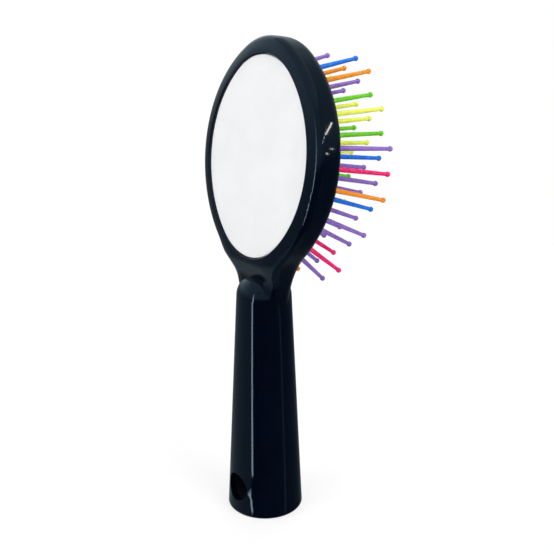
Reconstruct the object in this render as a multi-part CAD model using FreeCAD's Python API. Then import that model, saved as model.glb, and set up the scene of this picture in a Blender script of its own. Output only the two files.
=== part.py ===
import FreeCAD, Part
import math
import os

Vector = FreeCAD.Vector

# Handle: a round cone that stands on its wide foot and ends in a rounded shoulder
foot_radius = 15.0
foot_edge_round = 0.8
handle_height = 97.5
handle_top_radius = 10.17
shoulder_round = 8.5
handle_wall = 2.4
core_top = 13.5
core_end_round = 4.0

# Hanging hole, right through the handle from back to front
hang_hole_radius = 5.65
hang_hole_height = 11.1

# End plug that closes the hollow handle and carries the hanging hole through it
plug_floor = 2.4
plug_skirt = 5.0
plug_wall = 1.8
plug_clearance = 0.15

# Head: an oval dish, leaning towards the pins (degrees)
head_tilt = 7.3
plate_back = 3.3
head_lift = 1.3
head_half_width = 34.9
head_half_length = 43.3
head_thickness = 13.3
bezel_proud = 0.8
bezel_run = 4.6
bezel_drop = 1.4
bezel_crease_round = 10.0
bezel_round = 2.8
rim_round = 5.1
head_end_share = 0.69
bezel_side = 6.05
bezel_end = 6.7

# Neck between the head and the handle
neck_half_width = 10.2
neck_back = 5.6
neck_front = 6.2
neck_blend = 36.0
neck_socket = 17.5
dip_gap = 0.7
dip_sink = 0.7
dip_round = 8.0
neck_front_round = 30.0
neck_edge_round = 3.0

# White plate and its adhesive
plate_end_share = 0.78
plate_thickness = 1.0
plate_gap = 0.25
plate_edge_round = 0.25
recess_bevel = 0.3
tape_thickness = 0.15
tape_margin = 1.5

# Pocket for the cushion, in the front of the head, and the ring that closes it
web_thickness = 2.0
rim_wall = 3.0
ring_width = 2.4
ring_thickness = 2.2
ring_edge_round = 0.5
ring_clearance = 0.05

# Rubber cushion: flange, drawn-in waist and crowned membrane
flange_thickness = 1.4
membrane = 1.4
cushion_clearance = 0.2
cushion_waist = 0.5
cushion_crown = 4.8
crown_top_radius = 2.6
crown_shares = (0.0, 0.15, 0.35, 0.6, 1.0)
vent_radius = 1.1

# Pins: ball-tipped, in lengthwise files that splay sideways and lean along the head (degrees)
file_margin = 4.7
pin_margin = 5.3
pin_length = 22.4
pin_root_radius = 1.0
pin_tip_radius = 0.7
ball_radius = 1.0
pin_hole_clearance = 0.12
pin_flange_radius = 1.5
pin_flange_thickness = 0.7
pin_flange_gap = 0.15
file_splay = 5.2
lean_middle = -2.0
lean_slope = 30.0
lean_bend = -11.0

# Colours of the pins in each file, from the top of the head down
file_colours = {
    "left_4": "orange blue lime",
    "left_3": "purple green pink lime orange purple",
    "left_2": "lime purple orange blue green pink purple orange lime",
    "left_1": "purple lime orange pink blue green purple lime purple orange",
    "middle": "orange purple purple green orange lime orange purple purple",
    "right_1": "blue purple lime green lime green lime purple pink purple",
    "right_2": "orange green lime lime purple purple purple purple pink",
    "right_3": "lime green blue purple blue purple",
    "right_4": "purple pink orange",
}

# One overrun for all cuts
overrun = 5.0

# How square to the head's depth a wall and a cover stand, to find the edges between them,
# and the least turn of a crease between two covers (degrees)
wall_facing_share = 0.1
cover_facing_share = 0.5
least_crease = 5.0

ACROSS = Vector(1, 0, 0)
DEPTH = Vector(0, 1, 0)
UP = Vector(0, 0, 1)
ORIGIN = Vector(0, 0, 0)

# Heights above the foot that follow from the handle and the head
core_height = handle_height - core_top
plate_height = handle_height + head_lift + head_half_length
neck_root = handle_height - neck_socket
plate_half_width = head_half_width - bezel_side
plate_half_length = head_half_length - bezel_end
neck_dip_top = plate_height - plate_half_length - dip_gap
neck_dip_foot = handle_height - dip_sink

# Depths in the head, measured from the face of the plate towards the pins
front_depth = head_thickness - bezel_proud
recess_depth = plate_thickness + tape_thickness
pocket_depth = recess_depth + web_thickness
ring_depth = front_depth - ring_thickness
ledge_depth = ring_depth - flange_thickness

head_turn = FreeCAD.Rotation(ACROSS, -head_tilt)
head_place = FreeCAD.Placement(Vector(0, -plate_back, plate_height), head_turn)
tilt_tangent = math.tan(math.radians(head_tilt))
tilt_cosine = math.cos(math.radians(head_tilt))


def oval(half_width, half_length, end_share):
    """An oval of four arcs: its half width, half length and end radius."""
    return half_width, half_length, half_width * end_share


def grown(shape, offset):
    """The parallel oval, larger by the offset all round."""
    return tuple(size + offset for size in shape)


def oval_arcs(shape):
    """Reach of the end centres, side radius, and the corner where side and end arcs meet."""
    half_width, half_length, end_radius = shape
    reach = half_length - end_radius
    side_radius = (reach**2 + half_width**2 - end_radius**2) / (2 * (half_width - end_radius))
    spread = side_radius - end_radius
    return reach, side_radius, (side_radius - half_width) * end_radius / spread, reach * side_radius / spread


def arc(start, middle, end):
    return Part.Arc(Vector(*start), Vector(*middle), Vector(*end)).toShape()


def line(start, end):
    return Part.makeLine(Vector(*start), Vector(*end))


def oval_wire(shape, depth):
    half_width, half_length, _ = shape
    _, _, x, z = oval_arcs(shape)
    right = arc((x, depth, -z), (half_width, depth, 0), (x, depth, z))
    top = arc((x, depth, z), (0, depth, half_length), (-x, depth, z))
    left = arc((-x, depth, z), (-half_width, depth, 0), (-x, depth, -z))
    bottom = arc((-x, depth, -z), (0, depth, -half_length), (x, depth, -z))
    return Part.Wire([right, top, left, bottom])


def oval_prism(shape, near, far):
    return Part.Face(oval_wire(shape, near)).extrude(DEPTH * (far - near))


def oval_loft(sections, ruled):
    """A solid through ovals, each given with its depth."""
    return Part.makeLoft([oval_wire(shape, depth) for shape, depth in sections], True, ruled)


def rounded_wire(corners, rounds):
    """A closed wire of straight runs, with each corner rounded by its own radius."""
    corners = [Vector(*corner) for corner in corners]
    joints = []
    for index, corner in enumerate(corners):
        before = (corners[index - 1] - corner).normalize()
        after = (corners[(index + 1) % len(corners)] - corner).normalize()
        half = before.getAngle(after) / 2
        bisector = (before + after).normalize()
        setback = rounds[index] / math.tan(half)
        inset = rounds[index] / math.sin(half) - rounds[index]
        joints.append((corner + before * setback, corner + bisector * inset, corner + after * setback))
    edges = []
    for index, (start, middle, end) in enumerate(joints):
        if rounds[index] > 0:
            edges.append(Part.Arc(start, middle, end).toShape())
        edges.append(Part.makeLine(end, joints[(index + 1) % len(joints)][0]))
    return Part.Wire(edges)


def turned(corners, rounds):
    """A solid of revolution about the handle's axis from (radius, height) corners."""
    wire = rounded_wire([(radius, 0, height) for radius, height in corners], rounds)
    return Part.Face(wire).revolve(ORIGIN, UP, 360)


def in_head(shape):
    """The shape moved from the head's own axes to its place on the brush."""
    placed = shape.copy()
    placed.Placement = head_place.multiply(placed.Placement)
    return placed


def head_plane(depth, height):
    """How far forward a plane of the head lies at a height above the foot."""
    return depth / tilt_cosine - plate_back - (plate_height - height) * tilt_tangent


def cone_radius(height):
    """Radius of the handle's outer cone at a height above the foot."""
    return foot_radius - (foot_radius - handle_top_radius) * height / handle_height


head_oval = oval(head_half_width, head_half_length, head_end_share)
plate_oval = oval(plate_half_width, plate_half_length, plate_end_share)
pocket_oval = grown(head_oval, -rim_wall)
ring_bore_oval = grown(pocket_oval, -ring_width)
cushion_oval = grown(ring_bore_oval, -cushion_clearance)
chamber_oval = grown(cushion_oval, -membrane)
hollow_oval = grown(chamber_oval, -cushion_waist)

# The crown and the rows of pins fill the cushion inside their margins
crown_run = hollow_oval[2] - crown_top_radius
longest_file = max(len(colours.split()) for colours in file_colours.values())
file_pitch = (cushion_oval[0] - file_margin) / (len(file_colours) // 2)
pin_pitch = 2 * (cushion_oval[1] - pin_margin) / (longest_file - 1)


def arc_centres(shape):
    """Centres of the lower end arc and of the right side arc of an oval."""
    reach, side_radius, _, _ = oval_arcs(shape)
    return (0, -reach), (shape[0] - side_radius, 0)


def neck_blend_places():
    """Centre of the hollow arc beside the neck, and where it touches the head's oval, on its end or side."""
    _, side_radius, corner_x, _ = oval_arcs(head_oval)
    centre_x = neck_half_width + neck_blend
    for (x, z), radius in zip(arc_centres(head_oval), (head_oval[2], side_radius)):
        drop = math.sqrt((radius + neck_blend)**2 - (centre_x - x)**2)
        share = radius / (radius + neck_blend)
        touch = (x + (centre_x - x) * share, z - drop * share)
        if touch[0] < corner_x:
            break
    return (centre_x, z - drop), touch


def on_circle(centre, radius, first, last):
    """The point of a circle half way round from one of its points to another."""
    middle = ((first[0] + last[0]) / 2 - centre[0], (first[1] + last[1]) / 2 - centre[1])
    share = radius / math.hypot(*middle)
    return centre[0] + middle[0] * share, centre[1] + middle[1] * share


def paddle_outline():
    """Outline of head and neck: the oval, which runs into the neck's straight sides in two hollow arcs."""
    _, half_length, end_radius = head_oval
    _, side_radius, x, z = oval_arcs(head_oval)
    end_centre, side_centre = arc_centres(head_oval)
    centre, touch = neck_blend_places()
    foot = (neck_half_width, neck_root - plate_height - overrun)
    start = (neck_half_width, centre[1])
    corner = (x, -z) if touch[0] < x else touch
    runs = [(centre, neck_blend, start, touch), (side_centre, side_radius, corner, (x, z))]
    if corner != touch:
        runs.append((end_centre, end_radius, touch, corner))

    def at(point, side):
        return side * point[0], -bezel_proud - overrun, point[1]

    edges = [line(at(foot, -1), at(foot, 1)), arc(at((x, z), 1), at((0, half_length), 1), at((x, z), -1))]
    for side in (1, -1):
        edges.append(line(at(foot, side), at(start, side)))
        for middle, radius, first, last in runs:
            half_way = on_circle(middle, radius, first, last)
            edges.append(arc(at(first, side), at(half_way, side), at(last, side)))
    return Part.Wire(Part.__sortEdges__(edges))


def side_profile():
    """Head and neck seen from the side: the leaning dish, the dip below the plate and the upright neck."""
    top = plate_height + head_half_length + overrun
    front_foot = plate_height - (front_depth / tilt_cosine - plate_back - neck_front) / tilt_tangent
    half = head_half_width + overrun
    corners = [(-half, head_plane(-bezel_proud, top), top),
               (-half, head_plane(-bezel_proud, neck_dip_top), neck_dip_top),
               (-half, -neck_back, neck_dip_foot),
               (-half, -neck_back, neck_root),
               (-half, neck_front, neck_root),
               (-half, neck_front, front_foot),
               (-half, head_plane(front_depth, top), top)]
    rounds = (0, dip_round, dip_round, 0, 0, neck_front_round, 0)
    return Part.Face(rounded_wire(corners, rounds)).extrude(ACROSS * (2 * half))


def back_round(place):
    """Radius of the back edge: full round the head, smaller down the neck."""
    along = head_place.inverse().multVec(place).z
    centre, touch = neck_blend_places()
    share = (along - centre[1]) / (touch[1] - centre[1])
    return neck_edge_round + (bezel_round - neck_edge_round) * min(max(share, 0), 1)


def outline_edges(solid):
    """Edges round the back, each with whether its wall comes first, round the front, and back creases."""
    depth_axis = head_turn.multVec(DEPTH)
    back, front, creases = [], [], []
    for number, edge in enumerate(solid.Edges, 1):
        middle = edge.valueAt((edge.FirstParameter + edge.LastParameter) / 2)
        faces = solid.ancestorsOfType(edge, Part.Face)
        normals = [face.normalAt(*face.Surface.parameter(middle)) for face in faces]
        facing = [normal.dot(depth_axis) for normal in normals]
        wall, cover = sorted(facing, key=abs)
        if abs(wall) < wall_facing_share and cover > cover_facing_share:
            front.append(number)
        elif abs(wall) < wall_facing_share and cover < -cover_facing_share:
            back.append((number, edge, facing[0] == wall))
        elif max(facing) < -cover_facing_share:
            if normals[0].getAngle(normals[1]) > math.radians(least_crease):
                creases.append(number)
    return back, front, creases


def with_edges(feature, solid, sizes):
    """The solid with its numbered edges cut or rounded."""
    document = FreeCAD.newDocument()
    sharp = document.addObject("Part::Feature")
    sharp.Shape = solid
    shaped = document.addObject(feature)
    shaped.Base = sharp
    shaped.Edges = sizes
    document.recompute()
    return shaped.Shape


def rounded_edges(solid):
    """Head and neck with a soft slope and a round along the back edges, and rounded front edges."""
    back, _, _ = outline_edges(solid)
    slopes = {True: (bezel_drop, bezel_run), False: (bezel_run, bezel_drop)}
    sloped = with_edges("Part::Chamfer", solid, [(number, *slopes[first]) for number, _, first in back])
    back, front, creases = outline_edges(sloped)
    rounds = [(number, rim_round, rim_round) for number in front]
    rounds += [(number, bezel_crease_round, bezel_crease_round) for number in creases]
    for number, edge, _ in back:
        start, end = edge.valueAt(edge.FirstParameter), edge.valueAt(edge.LastParameter)
        rounds.append((number, back_round(start), back_round(end)))
    return with_edges("Part::Fillet", sloped, rounds)


def brush_body():
    """Head, neck and hollow handle in one moulding."""
    deepest = head_place.inverse().multVec(Vector(0, neck_front, neck_root)).y + overrun
    paddle = Part.Face(paddle_outline()).extrude(DEPTH * (deepest + bezel_proud + overrun))
    paddle = rounded_edges(in_head(paddle).common(side_profile()))
    handle = turned([(0, 0), (foot_radius, 0), (handle_top_radius, handle_height), (0, handle_height)],
                    (0, foot_edge_round, shoulder_round, 0))
    core = turned([(0, -overrun), (core_radius(-overrun), -overrun), (core_radius(core_height), core_height),
                   (0, core_height)], (0, 0, core_end_round, 0))
    recess_oval = grown(plate_oval, plate_gap)
    recess = oval_prism(recess_oval, -bezel_proud - overrun, recess_depth)
    bevel = oval_loft([(recess_oval, recess_bevel - bezel_proud),
                       (grown(recess_oval, 2 * recess_bevel), -recess_bevel - bezel_proud)], True)
    pocket = oval_prism(pocket_oval, ledge_depth, front_depth + overrun)
    chamber = oval_prism(chamber_oval, pocket_depth, front_depth)
    dish = [in_head(cut) for cut in (recess, bevel, pocket, chamber)]
    return paddle.fuse(handle).cut(dish + [core, hang_hole()]).removeSplitter()


def core_radius(height):
    """Radius of the handle's hollow."""
    return cone_radius(height) - handle_wall


def hang_hole():
    return Part.makeCylinder(hang_hole_radius, 2 * (foot_radius + overrun), Vector(0, -foot_radius - overrun,
                             hang_hole_height), DEPTH)


def end_plug():
    """A shallow cup in the foot with a cross tube that lines the hanging hole."""
    def radius(height):
        return core_radius(height) - plug_clearance

    tube_radius = hang_hole_radius + plug_wall
    tube_top = hang_hole_height + tube_radius
    cup = turned([(0, 0), (radius(0), 0), (radius(plug_skirt), plug_skirt),
                  (radius(plug_skirt) - plug_wall, plug_skirt), (radius(plug_floor) - plug_wall, plug_floor),
                  (0, plug_floor)], (0, 0, 0, 0, 0, 0))
    tube = Part.makeCylinder(tube_radius, 2 * foot_radius, Vector(0, -foot_radius, hang_hole_height), DEPTH)
    rib = Part.makeBox(plug_wall, 2 * foot_radius, hang_hole_height - plug_floor,
                       Vector(-plug_wall / 2, -foot_radius, plug_floor))
    room = turned([(0, 0), (radius(0), 0), (radius(tube_top), tube_top), (0, tube_top)], (0, 0, 0, 0))
    return cup.fuse(tube.fuse(rib).common(room)).cut(hang_hole()).removeSplitter()


def back_plate():
    plate = oval_prism(plate_oval, 0, plate_thickness)
    face_edges = [edge for edge in plate.Edges if edge.BoundBox.YMax < plate_edge_round]
    return in_head(plate.makeFillet(plate_edge_round, face_edges))


def plate_tape():
    return in_head(oval_prism(grown(plate_oval, -tape_margin), plate_thickness, recess_depth))


def cushion_ring():
    ring = oval_prism(grown(pocket_oval, -ring_clearance), ring_depth, front_depth)
    ring = ring.cut(oval_prism(ring_bore_oval, ring_depth - overrun, front_depth + overrun))
    lip = [edge for edge in ring.Edges if edge.BoundBox.YMin > front_depth - ring_edge_round]
    return in_head(ring.makeFillet(ring_edge_round, lip))


def crown_height(share):
    """Height of the cushion above its edge, at a share of the way in to its flat top."""
    return cushion_crown * (1 - (1 - share)**2)


def crown(base, edge_depth):
    """The crowned top of the cushion over an oval, as a smooth loft."""
    sections = [(grown(base, -share * crown_run), edge_depth + crown_height(share)) for share in crown_shares]
    return oval_loft(sections, False)


def cushion(pins):
    """Flange, waist and crowned membrane, with a hole for each pin and one for the air."""
    waist_depth = (ring_depth + front_depth) / 2
    flange = oval_prism(grown(pocket_oval, -cushion_clearance), ledge_depth, ring_depth)
    waist = oval_loft([(cushion_oval, ring_depth), (grown(cushion_oval, -cushion_waist), waist_depth),
                       (cushion_oval, front_depth)], True)
    solid = flange.fuse([waist, crown(cushion_oval, front_depth)])
    inner_edge = front_depth - membrane
    hollow = oval_prism(hollow_oval, ledge_depth - overrun, inner_edge).fuse(crown(hollow_oval, inner_edge))
    holes = [pin_hole(root, direction) for _, root, direction in pins]
    vent_foot = Vector(file_pitch / 2, inner_edge, 0)
    vent = Part.makeCylinder(vent_radius, crown_height(1) + overrun, vent_foot, DEPTH)
    return in_head(solid.cut([hollow, vent] + holes))


def inset_at(x, z):
    """How far inside the edge of the cushion a place lies."""
    half_width, _, end_radius = cushion_oval
    reach, side_radius, corner_x, corner_z = oval_arcs(cushion_oval)
    past = abs(z) - reach
    if past > 0 and abs(x) * (corner_z - reach) < past * corner_x:
        return end_radius - math.hypot(x, past)
    return side_radius - math.hypot(abs(x) + side_radius - half_width, z)


def pin_frame(file_number, along):
    """Root and direction of a pin: it stands on the cushion, splayed sideways and leaning along the head."""
    x = file_number * file_pitch
    share = min(inset_at(x, along) / crown_run, 1)
    reach_share = along / plate_half_length
    splay = math.radians(file_number * file_splay)
    lean = math.radians(lean_middle + lean_slope * reach_share + lean_bend * reach_share**2)
    root = Vector(x, front_depth + crown_height(share), along)
    return root, Vector(math.tan(splay), 1, math.tan(lean)).normalize()


def along_pin(shape, root, direction):
    shape.Placement = FreeCAD.Placement(root, FreeCAD.Rotation(UP, direction))
    return shape


def pin_hole(root, direction):
    """A hole for the shaft, with a seat sunk into the back of the rubber for the flange."""
    foot = Vector(0, 0, -membrane - overrun)
    hole = Part.makeCylinder(pin_root_radius + pin_hole_clearance, membrane + 2 * overrun, foot)
    seat = Part.makeCylinder(pin_flange_radius + pin_flange_gap, overrun, foot)
    return along_pin(hole.fuse(seat), root, direction)


def pin(root, direction):
    """One pin: flange behind the membrane, tapered shaft and ball tip."""
    flange_top = -membrane - pin_flange_gap
    flange_foot = flange_top - pin_flange_thickness
    ball = pin_length - ball_radius
    shaft_end = ball - math.sqrt(ball_radius**2 - pin_tip_radius**2)
    corners = [(0, flange_foot), (pin_flange_radius, flange_foot), (pin_flange_radius, flange_top),
               (pin_root_radius, flange_top), (pin_root_radius, 0), (pin_tip_radius, shaft_end)]
    places = [(radius, 0, height) for radius, height in corners]
    edges = [line(first, second) for first, second in zip(places, places[1:])]
    edges.append(arc(places[-1], (ball_radius, 0, ball), (0, 0, pin_length)))
    edges.append(line((0, 0, pin_length), places[0]))
    return along_pin(Part.Face(Part.Wire(edges)).revolve(ORIGIN, UP, 360), root, direction)


def pin_files():
    """Every pin as file, colour and frame: staggered files, each centred on the head."""
    names = list(file_colours)
    pins = {}
    for number, name in enumerate(names, -(len(names) // 2)):
        colours = file_colours[name].split()
        for place, colour in enumerate(colours):
            along = ((len(colours) - 1) / 2 - place) * pin_pitch
            pins.setdefault((name, colour), []).append((name, *pin_frame(number, along)))
    return pins


os.makedirs("parts", exist_ok=True)
pins = pin_files()
parts = {
    "brush_body": brush_body(),
    "end_plug": end_plug(),
    "back_plate": back_plate(),
    "plate_tape": plate_tape(),
    "cushion_ring": cushion_ring(),
    "cushion": cushion([frame for group in pins.values() for frame in group]),
}
for (file_name, colour), group in pins.items():
    solids = [in_head(pin(root, direction)) for _, root, direction in group]
    parts["pins_" + file_name + "_" + colour] = Part.makeCompound(solids)
for node, shape in parts.items():
    print(node, shape.isValid(), len(shape.Solids), round(shape.Volume, 2))
    shape.exportStep("parts/" + node + ".step")
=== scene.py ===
import math

import bmesh
import bpy
import numpy as np
from mathutils import Matrix, Vector


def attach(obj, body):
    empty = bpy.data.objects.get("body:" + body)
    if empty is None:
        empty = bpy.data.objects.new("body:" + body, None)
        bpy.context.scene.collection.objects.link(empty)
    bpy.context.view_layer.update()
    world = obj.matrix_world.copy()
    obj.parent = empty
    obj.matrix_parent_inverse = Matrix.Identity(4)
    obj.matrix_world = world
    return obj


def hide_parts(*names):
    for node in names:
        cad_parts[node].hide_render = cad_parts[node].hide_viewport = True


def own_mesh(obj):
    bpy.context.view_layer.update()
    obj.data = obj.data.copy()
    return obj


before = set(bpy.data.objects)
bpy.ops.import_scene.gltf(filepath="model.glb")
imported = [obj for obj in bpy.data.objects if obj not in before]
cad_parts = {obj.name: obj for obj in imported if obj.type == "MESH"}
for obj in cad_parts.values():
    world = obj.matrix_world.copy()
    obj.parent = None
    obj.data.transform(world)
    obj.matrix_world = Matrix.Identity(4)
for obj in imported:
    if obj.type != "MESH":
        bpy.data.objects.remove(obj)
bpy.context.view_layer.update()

# Looks of the brush: finishes for its solids, the rubber cushion, and a white studio round it

MM = 0.001

# Camera: where the photograph was taken from (degrees, millimetres, pixels of a square image)
view_azimuth = 52.79
view_elevation = 18.25
view_roll = -0.11
view_distance = 342.9
view_height = 107.143
view_shift_right = 4.98
view_shift_up = -10.43
focal_pixels = 914.7
image_pixels = 554
sensor_width = 36.0
nearest_seen = 10

# Head of the brush: its tilt and place, and the oval of its edge as half width, half length
# and end radius (millimetres)
head_tilt = math.radians(7.3)
head_back = 3.3
head_height = 142.1
head_oval = (34.9, 43.3, 24.08)

# Cushion: insets from the edge of the head, and depths from the face of the plate (millimetres)
flange_inset = 3.2
cushion_inset = 5.6
hollow_inset = 7.5
flange_depth = 8.9
ring_depth = 10.3
front_depth = 12.5
waist_inset = 0.5
membrane = 1.4
crown_run = 13.98
crown_rise = 4.8
crown_steps = 12
hollow_steps = 9
oval_steps = 12

# Collars that the rubber forms round the pins, as radius and height above the crown (millimetres)
pin_length = 22.4
collar_profile = ((2.3, -0.25), (1.92, 0.1), (1.58, 0.42), (1.33, 0.5), (1.21, 0.3), (1.21, -0.6))
collar_steps = 20

# Points closer than these are one: on a solid's mesh, and on a shape spun and mirrored (millimetres)
weld_distance = 0.001
seam_distance = 0.01

# Nylon colours of the pins
pin_colours = {
    "purple": (0.25, 0.13, 0.5),
    "orange": (0.78, 0.255, 0.006),
    "lime": (0.78, 0.88, 0.094),
    "green": (0.135, 0.58, 0.006),
    "blue": (0.001, 0.152, 0.71),
    "pink": (0.8, 0.006, 0.145),
}

# Light: strength of the even light and the white, and the colours that the gloss mirrors
even_strength = 0.66
white_strength = 1.0
spark_strength = 32
white = (1, 1, 1)
cool_white = (0.92, 1.1, 1.17)
warm_white = (1, 0.72, 0.56)

# Room round the brush: the distance of its cards (metres), with shares of it for strips and roofs, and
# the corners of its walls as bearings to the right of the camera and elevations (degrees)
card_distance = 3.0
strip_distance_share = 0.95
roof_radius_share = 1.1
roof_sides = 48
card_step = 3
left_corner = -44
back_corner = 120
wall_foot = -60
table_line = -28
strip_joint = -12
wall_top = 45

# Sparks on the side of the head: both ends of each small lamp, and its width (millimetres)
window_end = ((49.8, 26.5, 168.8), (53.7, 21.9, 161.4), 0.65)
upper_spark = ((56.2, 23.8, 152.6), (56.2, 23.8, 151.3), 0.6)
lower_spark = ((56.9, 21.0, 149.6), (56.9, 21.0, 148.3), 0.6)

# Floor: its radius, and the ring in which the paper runs out into the white (metres)
floor_radius = 12
floor_sides = 96
floor_fade = (0.1, 0.45)
floor_white_share = 0.64

# Lamps: how far each is from the middle of the brush (metres)
lamp_distance = 0.8


def head_place():
    """From the head's own axes, in millimetres, to the brush in metres."""
    move = Matrix.Translation(Vector((0, -head_back, head_height)) * MM)
    return move @ Matrix.Rotation(-head_tilt, 4, "X") @ Matrix.Scale(MM, 4)


# Materials


def node_material(name):
    """A material with its shader, and the place on the piece for its patterns."""
    material = bpy.data.materials.new(name)
    material.use_nodes = True
    tree = material.node_tree
    shader = tree.nodes["Principled BSDF"]
    place = tree.nodes.new("ShaderNodeTexCoord").outputs["Object"]
    return material, tree, shader, place


def noise(tree, place, scale, detail=2.0):
    """Cloudy values from 0 to 1, most of them near the middle."""
    texture = tree.nodes.new("ShaderNodeTexNoise")
    texture.inputs["Scale"].default_value = scale
    texture.inputs["Detail"].default_value = detail
    tree.links.new(place, texture.inputs["Vector"])
    return texture.outputs["Fac"]


def spread(tree, value, low, high, start=0.35, end=0.65):
    """Maps the middle of a noise to a range."""
    node = tree.nodes.new("ShaderNodeMapRange")
    for socket, number in zip(("From Min", "From Max", "To Min", "To Max"), (start, end, low, high)):
        node.inputs[socket].default_value = number
    tree.links.new(value, node.inputs["Value"])
    return node.outputs["Result"]


def paint(tree, shader, value, first, second):
    """Colours a finish between two shades, by a value from 0 to 1."""
    node = tree.nodes.new("ShaderNodeMix")
    node.data_type = "RGBA"
    node.inputs["A"].default_value = (*first, 1)
    node.inputs["B"].default_value = (*second, 1)
    tree.links.new(value, node.inputs["Factor"])
    tree.links.new(node.outputs["Result"], shader.inputs["Base Color"])


def dull(tree, shader, value, low, high):
    """Roughens a finish between two values, by a noise."""
    tree.links.new(spread(tree, value, low, high), shader.inputs["Roughness"])


def bumps(tree, shader, value, depth):
    """Raises a finish by a noise, to a depth in millimetres."""
    node = tree.nodes.new("ShaderNodeBump")
    node.inputs["Distance"].default_value = depth * MM
    tree.links.new(value, node.inputs["Height"])
    tree.links.new(node.outputs["Normal"], shader.inputs["Normal"])


def black_gloss():
    """Polished black moulding: deep blue-black, reflections tinted blue as painted cool light, a trace
    of orange peel and faint handling haze.
    """
    material, tree, shader, place = node_material("black_gloss")
    tint = spread(tree, noise(tree, place, 60), 0, 1)
    paint(tree, shader, tint, (0.0004, 0.0017, 0.006), (0.0007, 0.0023, 0.0076))
    dull(tree, shader, noise(tree, place, 220, 4), 0.05, 0.085)
    # Specular tint: a painted cool blue cast of the light, given to every reflection on the moulding
    shader.inputs["Specular Tint"].default_value = (0.55, 0.78, 1.0, 1)
    bumps(tree, shader, noise(tree, place, 130, 1), 0.02)
    return material


def black_satin(name, roughness):
    """Black moulding with a fine spark-eroded texture."""
    material, tree, shader, place = node_material(name)
    grain = noise(tree, place, 2600, 3)
    paint(tree, shader, grain, (0.003, 0.004, 0.007), (0.007, 0.008, 0.012))
    dull(tree, shader, noise(tree, place, 300), roughness, roughness + 0.1)
    bumps(tree, shader, grain, 0.03)
    return material


def white_coat():
    """White coated plate: faint mottle and a fine coated-board grain."""
    material, tree, shader, place = node_material("white_plate")
    mottle = spread(tree, noise(tree, place, 90, 3), 0, 1)
    paint(tree, shader, mottle, (0.845, 0.85, 0.865), (0.875, 0.88, 0.89))
    dull(tree, shader, noise(tree, place, 500), 0.34, 0.46)
    bumps(tree, shader, noise(tree, place, 3500), 0.006)
    return material


def adhesive():
    """Milky double-sided tape."""
    material, tree, shader, place = node_material("adhesive")
    paint(tree, shader, noise(tree, place, 900, 3), (0.62, 0.61, 0.56), (0.72, 0.71, 0.67))
    dull(tree, shader, noise(tree, place, 400), 0.5, 0.65)
    return material


def black_rubber():
    """Matt black rubber with a fine stipple and a little dust."""
    material, tree, shader, place = node_material("black_rubber")
    dust = spread(tree, noise(tree, place, 160, 4), 0, 1, 0.4, 0.75)
    paint(tree, shader, dust, (0.010, 0.010, 0.011), (0.022, 0.022, 0.023))
    dull(tree, shader, noise(tree, place, 350), 0.48, 0.62)
    bumps(tree, shader, noise(tree, place, 2200), 0.04)
    return material


def pin_nylon(name, colour):
    """Glossy dyed nylon: up to a tenth paler in places, with faint flow marks."""
    material, tree, shader, place = node_material("pin_" + name)
    pale = tuple(min(part * 1.1 + 0.004, 0.96) for part in colour)
    paint(tree, shader, spread(tree, noise(tree, place, 260), 0, 1), colour, pale)
    dull(tree, shader, noise(tree, place, 700), 0.2, 0.3)
    bumps(tree, shader, noise(tree, place, 900), 0.012)
    return material


def pin_nodes():
    """Names of the solids that hold pins; each ends with its colour."""
    return sorted(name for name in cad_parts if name.startswith("pins_"))


def finish_node(name, material):
    """Puts one finish on a solid of the frame."""
    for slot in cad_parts[name].material_slots:
        slot.material = material


def finish_cad_nodes():
    """Gives each solid of the frame its finish."""
    finish_node("brush_body", black_gloss())
    finish_node("end_plug", black_satin("black_plug", 0.3))
    finish_node("cushion_ring", black_satin("black_ring", 0.22))
    finish_node("back_plate", white_coat())
    finish_node("plate_tape", adhesive())
    nylons = {name: pin_nylon(name, colour) for name, colour in pin_colours.items()}
    for name in pin_nodes():
        finish_node(name, nylons[name.split("_")[-1]])


# Rubber cushion


def islands(mesh):
    """The separate shapes of a solid's mesh, each as an array of points."""
    shapes = bmesh.new()
    shapes.from_mesh(mesh)
    bmesh.ops.remove_doubles(shapes, verts=shapes.verts, dist=weld_distance * MM)
    left = set(shapes.verts)
    found = []
    while left:
        reached = {left.pop()}
        front = list(reached)
        while front:
            vert = front.pop()
            near = {edge.other_vert(vert) for edge in vert.link_edges} - reached
            reached |= near
            front += near
        left -= reached
        found.append(np.array([vert.co for vert in reached]))
    shapes.free()
    return found


def pin_frames():
    """Root and direction of every pin, in the head's own axes."""
    to_head = head_place().inverted()
    frames = []
    for name in pin_nodes():
        for points in islands(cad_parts[name].data):
            points = np.array([to_head @ Vector(point) for point in points])
            middle = points.mean(axis=0)
            axis = np.linalg.svd(points - middle)[2][0]
            axis = axis * math.copysign(1, axis[1])
            reach = ((points - middle) @ axis).max()
            frames.append((Vector(middle + axis * (reach - pin_length)), Vector(axis)))
    return frames


def oval_face(shapes, inset, depth):
    """A face on the oval of the head, less the inset: two arcs spun for a quarter, then mirrored."""
    half_width, half_length, end_radius = (size - inset for size in head_oval)
    reach = half_length - end_radius
    side_radius = (reach**2 + half_width**2 - end_radius**2) / (2 * (half_width - end_radius))
    turn = math.atan2(reach, side_radius - half_width)
    side_arc = ((half_width - side_radius, depth, 0), turn)
    end_arc = ((0, depth, reach), math.pi / 2 - turn)
    start = bmesh.ops.create_vert(shapes, co=(half_width, depth, 0))["vert"]
    for centre, angle in (side_arc, end_arc):
        arc = bmesh.ops.spin(shapes, geom=start, cent=centre, axis=(0, -1, 0), angle=angle,
                             steps=oval_steps)
        start = arc["geom_last"]
    for axis in "XZ":
        half = shapes.verts[:] + shapes.edges[:]
        bmesh.ops.mirror(shapes, geom=half, axis=axis, merge_dist=seam_distance)
    bmesh.ops.remove_doubles(shapes, verts=shapes.verts, dist=seam_distance)
    return bmesh.ops.contextual_create(shapes, geom=shapes.edges[:])["faces"][0]


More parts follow.
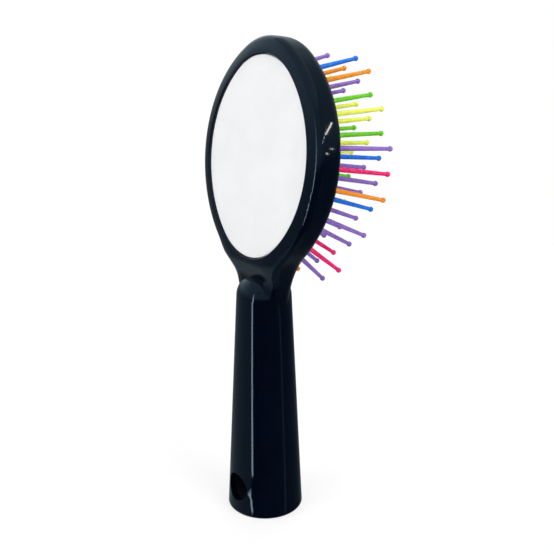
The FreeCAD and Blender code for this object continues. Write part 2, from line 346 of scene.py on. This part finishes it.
def crown_walls():
    """The crown as steps of inset and rise, steep at the edge and flat at the top."""
    heights = [crown_rise * (1 - (1 - step / crown_steps)**2) for step in range(crown_steps + 1)]
    return [(crown_run / crown_steps, high - low) for low, high in zip(heights, heights[1:])]


def step_in(shapes, face, walls):
    """Insets a face step by step, and moves it towards the pins at each."""
    for inset, rise in walls:
        bmesh.ops.inset_region(shapes, faces=[face], thickness=inset, use_even_offset=True)
        bmesh.ops.translate(shapes, verts=face.verts, vec=(0, rise, 0))


def cushion_skin(shapes):
    """Flange, drawn-in waist and crown, and the hollow behind them."""
    back = oval_face(shapes, flange_inset, flange_depth)
    made = bmesh.ops.extrude_face_region(shapes, geom=[back])["geom"]
    top = next(item for item in made if isinstance(item, bmesh.types.BMFace))
    bmesh.ops.translate(shapes, verts=top.verts, vec=(0, ring_depth - flange_depth, 0))
    half = (front_depth - ring_depth) / 2
    waist = [(cushion_inset - flange_inset, 0), (waist_inset, half), (-waist_inset, half)]
    step_in(shapes, top, waist + crown_walls())
    hollow = [(hollow_inset - flange_inset, 0), (0, front_depth - membrane - flange_depth)]
    step_in(shapes, back, hollow + crown_walls()[:hollow_steps])


def pin_collar(shapes, root, direction):
    """A raised lip of rubber round one pin."""
    turn = Vector((0, 0, 1)).rotation_difference(direction).to_matrix().to_4x4()
    place = Matrix.Translation(root) @ turn
    verts = []
    for radius, height in collar_profile:
        verts += bmesh.ops.create_vert(shapes, co=place @ Vector((radius, 0, height)))["vert"]
    edges = [shapes.edges.new(pair) for pair in zip(verts, verts[1:])]
    bmesh.ops.spin(shapes, geom=verts + edges, cent=root, axis=direction, angle=2 * math.pi,
                   steps=collar_steps, use_merge=True)


def rubber_cushion():
    """The air cushion that stands for its plain solid and sinks when the pins are pressed."""
    shapes = bmesh.new()
    cushion_skin(shapes)
    for root, direction in pin_frames():
        pin_collar(shapes, root, direction)
    bmesh.ops.recalc_face_normals(shapes, faces=shapes.faces)
    shapes.transform(head_place())
    mesh = bpy.data.meshes.new("rubber_cushion")
    shapes.to_mesh(mesh)
    shapes.free()
    mesh.materials.append(black_rubber())
    for polygon in mesh.polygons:
        polygon.use_smooth = True
    cushion = bpy.data.objects.new("rubber_cushion", mesh)
    bpy.context.collection.objects.link(cushion)
    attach(cushion, "cushion")
    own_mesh(cushion)
    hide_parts("cushion")


# Camera and floor


def toward(bearing, elevation):
    """A direction from the brush, in degrees to the right of the camera and above the table."""
    turn = math.radians(view_azimuth - 90 + bearing)
    rise = math.radians(elevation)
    return Vector((math.cos(turn) * math.cos(rise), math.sin(turn) * math.cos(rise), math.sin(rise)))


def view_axes():
    """Right, up and back of the camera."""
    back = toward(0, view_elevation)
    level = toward(90, 0)
    above = back.cross(level)
    roll = math.radians(view_roll)
    right = level * math.cos(roll) + above * math.sin(roll)
    up = above * math.cos(roll) - level * math.sin(roll)
    return right, up, back


def photo_camera():
    """The camera at the photograph's viewing angle."""
    right, up, back = view_axes()
    aim = Vector((0, 0, view_height)) + right * view_shift_right + up * view_shift_up
    data = bpy.data.cameras.new("photo_camera")
    data.sensor_width = sensor_width
    data.lens = focal_pixels * sensor_width / image_pixels
    data.clip_start = nearest_seen * MM
    camera = bpy.data.objects.new("photo_camera", data)
    turn = Matrix((right, up, back)).transposed().to_4x4()
    camera.matrix_world = Matrix.Translation((aim + back * view_distance) * MM) @ turn
    bpy.context.collection.objects.link(camera)
    bpy.context.scene.camera = camera


def seen_share(tree):
    """1 for rays that show the background: straight from the camera, mirrored or through glass."""
    path = tree.nodes.new("ShaderNodeLightPath").outputs
    total = path["Is Camera Ray"]
    for name in ("Is Glossy Ray", "Is Transmission Ray"):
        node = tree.nodes.new("ShaderNodeMath")
        node.operation = "MAXIMUM"
        tree.links.new(total, node.inputs[0])
        tree.links.new(path[name], node.inputs[1])
        total = node.outputs[0]
    return total


def mix_shaders(tree, share, first, second, output):
    """Shows the second shader by its share, and the first for the rest."""
    mix = tree.nodes.new("ShaderNodeMixShader")
    tree.links.new(share, mix.inputs[0])
    tree.links.new(first.outputs[0], mix.inputs[1])
    tree.links.new(second.outputs[0], mix.inputs[2])
    tree.links.new(mix.outputs[0], tree.nodes[output].inputs["Surface"])


def white_world():
    """White behind the object, and a softer even light on it."""
    world = bpy.data.worlds.new("studio")
    world.use_nodes = True
    tree = world.node_tree
    light = tree.nodes["Background"]
    behind = tree.nodes.new("ShaderNodeBackground")
    for node, strength in ((light, even_strength), (behind, white_strength)):
        node.inputs["Color"].default_value = (*white, 1)
        node.inputs["Strength"].default_value = strength
    mix_shaders(tree, seen_share(tree), light, behind, "World Output")
    bpy.context.scene.world = world


def floor_paper():
    """Pale paper that takes the shadow near the object and runs out into the white."""
    material, tree, shader, place = node_material("floor_paper")
    paint(tree, shader, noise(tree, place, 30), (0.9, 0.9, 0.9), (0.93, 0.93, 0.93))
    shader.inputs["Roughness"].default_value = 0.9
    shader.inputs["Specular IOR Level"].default_value = 0
    length = tree.nodes.new("ShaderNodeVectorMath")
    length.operation = "LENGTH"
    tree.links.new(place, length.inputs[0])
    far = spread(tree, length.outputs["Value"], floor_white_share, 1, *floor_fade)
    share = tree.nodes.new("ShaderNodeMath")
    share.operation = "MULTIPLY"
    tree.links.new(far, share.inputs[0])
    tree.links.new(seen_share(tree), share.inputs[1])
    glow = tree.nodes.new("ShaderNodeEmission")
    mix_shaders(tree, share.outputs[0], shader, glow, "Material Output")
    return material


def stage_piece(name, shapes, material):
    """A piece of the studio, which isn't part of the brush."""
    mesh = bpy.data.meshes.new(name)
    shapes.to_mesh(mesh)
    shapes.free()
    mesh.materials.append(material)
    piece = bpy.data.objects.new(name, mesh)
    bpy.context.collection.objects.link(piece)
    return piece


def floor():
    """A wide round of paper under the brush; the gloss mirrors the cards in its place."""
    shapes = bmesh.new()
    bmesh.ops.create_circle(shapes, cap_ends=True, segments=floor_sides, radius=floor_radius)
    paper = stage_piece("floor", shapes, floor_paper())
    paper.visible_glossy = False


# Room that the gloss mirrors


def even(brightness):
    """The same brightness at both ends of a card."""
    return brightness, brightness


def eased(tree, value, start, end):
    """0 to 1 between two values, without a kink at either."""
    node = tree.nodes.new("ShaderNodeMapRange")
    node.interpolation_type = "SMOOTHSTEP"
    node.inputs["From Min"].default_value = start
    node.inputs["From Max"].default_value = end
    tree.links.new(value, node.inputs["Value"])
    return node.outputs["Result"]


def between(tree, share, first, second):
    """A number between two; each is a value or a socket."""
    node = tree.nodes.new("ShaderNodeMix")
    tree.links.new(share, node.inputs["Factor"])
    for socket, number in zip(("A", "B"), (first, second)):
        if isinstance(number, bpy.types.NodeSocket):
            tree.links.new(number, node.inputs[socket])
        else:
            node.inputs[socket].default_value = number
    return node.outputs["Result"]


def card_height(elevation):
    """Height of a card's edge seen from the middle of the brush at an elevation in degrees."""
    return math.tan(math.radians(elevation)) * card_distance + view_height * MM


def card_material(name, low, high, bearings=(-90, 90), change=(0, 1), colour=cool_white):
    """Light that goes from low to high between two elevations; each has its value at both bearings."""
    material = bpy.data.materials.new(name)
    material.use_nodes = True
    tree = material.node_tree
    place = tree.nodes.new("ShaderNodeTexCoord").outputs["Object"]
    turned = tree.nodes.new("ShaderNodeMapping")
    turned.inputs["Rotation"].default_value[2] = -math.radians(view_azimuth - 90 + sum(bearings) / 2)
    tree.links.new(place, turned.inputs["Vector"])
    round_about = tree.nodes.new("ShaderNodeTexGradient")
    round_about.gradient_type = "RADIAL"
    tree.links.new(turned.outputs[0], round_about.inputs["Vector"])
    half_card = (bearings[1] - bearings[0]) / 360 / 2
    along = eased(tree, round_about.outputs["Fac"], 0.5 - half_card, 0.5 + half_card)
    axes = tree.nodes.new("ShaderNodeSeparateXYZ")
    tree.links.new(place, axes.inputs[0])
    rise = eased(tree, axes.outputs["Z"], card_height(change[0]), card_height(change[1]))
    glow = tree.nodes.new("ShaderNodeEmission")
    glow.inputs["Color"].default_value = (*colour, 1)
    light = between(tree, rise, between(tree, along, *low), between(tree, along, *high))
    tree.links.new(light, glow.inputs["Strength"])
    tree.links.new(glow.outputs[0], tree.nodes["Material Output"].inputs["Surface"])
    return material


def gloss_card(name, shapes, material):
    """A piece of the studio that shows only in the gloss of the brush."""
    card = stage_piece(name, shapes, material)
    card.visible_camera = False
    card.visible_diffuse = False
    card.visible_shadow = False
    card.visible_transmission = False


def studio_card(name, bearings, elevations, material, distance_share=1, lean=0):
    """A distant curved card. The lean turns its upper edge (degrees)."""
    first, last = bearings
    shapes = bmesh.new()
    verts = []
    for elevation, shift in zip(elevations, (0, lean)):
        corner = toward(first + shift, 0) * card_distance + Vector((0, 0, card_height(elevation)))
        verts += bmesh.ops.create_vert(shapes, co=corner * distance_share)["vert"]
    edge = shapes.edges.new(verts)
    bmesh.ops.spin(shapes, geom=verts + [edge], cent=(0, 0, 0), axis=(0, 0, 1),
                   angle=math.radians(last - first), steps=max(2, int((last - first) / card_step)))
    gloss_card(name, shapes, material)


def wall(name, bearings, elevations, low, high, change):
    """A wall of the room, or a table beneath it."""
    studio_card(name, bearings, elevations, card_material(name, low, high, bearings, change))


def strip(name, bearings, elevations, low, high, change=(0, 1), colour=white, lean=0):
    """A narrow light, or a table's edge, that stands before the walls."""
    material = card_material(name, even(low), even(high), bearings, change, colour)
    studio_card(name, bearings, elevations, material, strip_distance_share, lean)


def roof(name, elevation, brightness):
    """A flat card overhead, or underfoot, that closes the ring of walls."""
    shapes = bmesh.new()
    radius = card_distance * roof_radius_share
    bmesh.ops.create_circle(shapes, cap_ends=True, segments=roof_sides, radius=radius)
    bmesh.ops.translate(shapes, verts=shapes.verts, vec=(0, 0, card_height(elevation)))
    gloss_card(name, shapes, card_material(name, even(brightness), even(brightness)))


def spark(name, first, last, width):
    """A small warm lamp close to the head, whose mirror image is a spark on its side."""
    shapes = bmesh.new()
    ends = []
    for place in (first, last):
        ends += bmesh.ops.create_vert(shapes, co=Vector(place) * MM)["vert"]
    edge = shapes.edges.new(ends)
    made = bmesh.ops.extrude_edge_only(shapes, edges=[edge])["geom"]
    moved = [item for item in made if isinstance(item, bmesh.types.BMVert)]
    across = head_place().to_3x3() @ Vector((0, width, 0))
    bmesh.ops.translate(shapes, verts=moved, vec=across)
    bmesh.ops.translate(shapes, verts=shapes.verts, vec=-across / 2)
    glow = even(spark_strength)
    gloss_card(name, shapes, card_material(name, glow, glow, colour=warm_white))


def room():
    """Walls, ceiling and ground: bright on the left of the brush, dark on its right."""
    left = (-180, left_corner)
    right = (left_corner, back_corner)
    back = (back_corner, 180)
    wall("left_table", left, (wall_foot, table_line), even(0.3), even(0.16), (-42, table_line))
    wall("left_wall", left, (table_line, wall_top), even(0.16), (1.0, 0.4), (-8, 22))
    wall("right_wall", right, (wall_foot, wall_top), (0.005, 0.045), (0.36, 0.2), (-5, 12))
    wall("back_wall", back, (wall_foot, wall_top), (0.045, 0.16), (0.2, 0.4), (-5, 12))
    roof("ceiling", wall_top, 0.45)
    roof("ground", wall_foot, 0.1)


def streaks():
    """Lights whose mirror images are the streaks on the handle and the head, and the sparks."""
    strip("strip_light", (-47.5, -42.5), (strip_joint, 38), 7, 0.7, (-6, 30))
    strip("lower_strip", (-42, -37), (table_line, strip_joint), 6.5, 6.5, lean=-10.5)
    strip("window", (40, 74), (16.4, 17.6), 12, 12)
    strip("table_edge", (60.5, 63.5), (-30, strip_joint), 0.2, 0.2, colour=cool_white)
    spark("window_end", *window_end)
    spark("upper_spark", *upper_spark)
    spark("lower_spark", *lower_spark)


def soft_lamp(name, bearing, elevation, size, power):
    """A square soft light, aimed at the middle of the brush; it shows no mirror image of itself."""
    data = bpy.data.lights.new(name, "AREA")
    data.size = size
    data.energy = power
    lamp = bpy.data.objects.new(name, data)
    back = toward(bearing, elevation)
    middle = Vector((0, 0, view_height * MM))
    turn = back.to_track_quat("Z", "Y").to_matrix().to_4x4()
    lamp.matrix_world = Matrix.Translation(middle + back * lamp_distance) @ turn
    lamp.visible_camera = False
    lamp.visible_glossy = False
    bpy.context.collection.objects.link(lamp)


def lamps():
    """Soft lights on the plate, on the pins seen past it, and on the pins from behind."""
    soft_lamp("key_light", -60, 50, 0.6, 2.4)
    soft_lamp("fill_light", 50, 50, 0.4, 2.8)
    soft_lamp("back_light", 170, 40, 0.6, 1.8)


finish_cad_nodes()
rubber_cushion()
photo_camera()
white_world()
floor()
room()
streaks()
lamps()
bpy.context.scene.view_settings.view_transform = "Standard"
